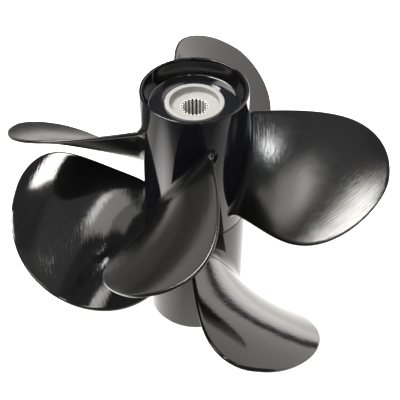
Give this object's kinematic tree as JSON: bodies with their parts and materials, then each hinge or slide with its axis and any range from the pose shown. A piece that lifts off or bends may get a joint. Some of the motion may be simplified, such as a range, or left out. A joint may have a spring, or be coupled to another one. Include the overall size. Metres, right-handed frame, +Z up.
{
  "type": "contra-rotating boat propeller set",
  "caption": "Contra-rotating boat propellers on one axis: a right-handed wheel above a wider left-handed one, black cast aluminium with splined, rubber-bushed hubs.",
  "frame": {"origin": "centre of the lower hub's end face, on the propellers' common axis, at floor level", "axes": "+Z up along the common axis, from the boat side to the aft side; the picture looks along +Y with +X to the right"},
  "size_m": [0.3893, 0.3866, 0.2921],
  "materials": {
    "black_paint": "gloss black paint on cast aluminium",
    "bush_rubber": "matt black rubber",
    "insert_metal": "fine-grained bare metal"
  },
  "bodies": {
    "lower_propeller": {"lower_hub_barrel": "black_paint", "lower_hub_web": "black_paint", "lower_inner_hub": "black_paint", "lower_rubber_bush": "bush_rubber", "lower_splined_insert": "insert_metal", "lower_blade_1": "black_paint", "lower_blade_2": "black_paint", "lower_blade_3": "black_paint"},
    "upper_propeller": {"upper_hub_barrel": "black_paint", "upper_hub_web": "black_paint", "upper_inner_hub": "black_paint", "upper_rubber_bush": "bush_rubber", "upper_splined_insert": "insert_metal", "upper_blade_1": "black_paint", "upper_blade_2": "black_paint", "upper_blade_3": "black_paint", "upper_blade_4": "black_paint"}
  },
  "joints": [
    {"name": "contra_rotation", "type": "hinge", "parent": "lower_propeller", "child": "upper_propeller", "pos_m": [0, 0, 0.1434], "axis": [0, 0, 1], "continuous": true}
  ]
}
